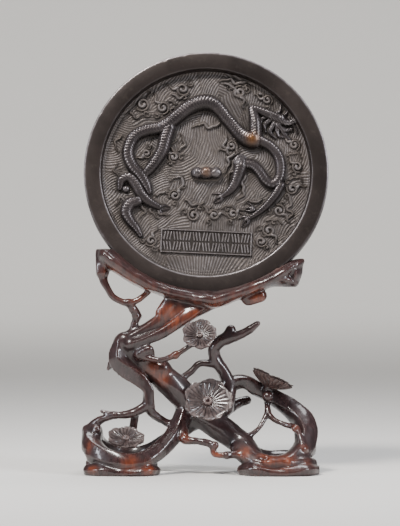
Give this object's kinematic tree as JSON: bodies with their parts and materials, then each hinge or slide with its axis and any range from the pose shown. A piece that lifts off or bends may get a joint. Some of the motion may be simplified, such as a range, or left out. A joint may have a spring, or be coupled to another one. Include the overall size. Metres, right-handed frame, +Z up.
{
  "type": "bronze mirror",
  "caption": "Round cast bronze mirror with a dragon relief and pierced knob, leaning in the grooved arms of a carved hardwood branch stand.",
  "frame": {"origin": "middle of the part's footprint, on the surface that the stand's feet rest on", "axes": "+X to the right as seen from the decorated side, -Y towards the viewer, +Z up"},
  "size_m": [0.1118, 0.0526, 0.1888],
  "materials": {
    "bronze": "dark brown patina",
    "hardwood": "polished dark red-brown"
  },
  "bodies": {
    "root": {"bronze_mirror": "bronze", "carved_wood_stand": "hardwood"}
  },
  "joints": []
}
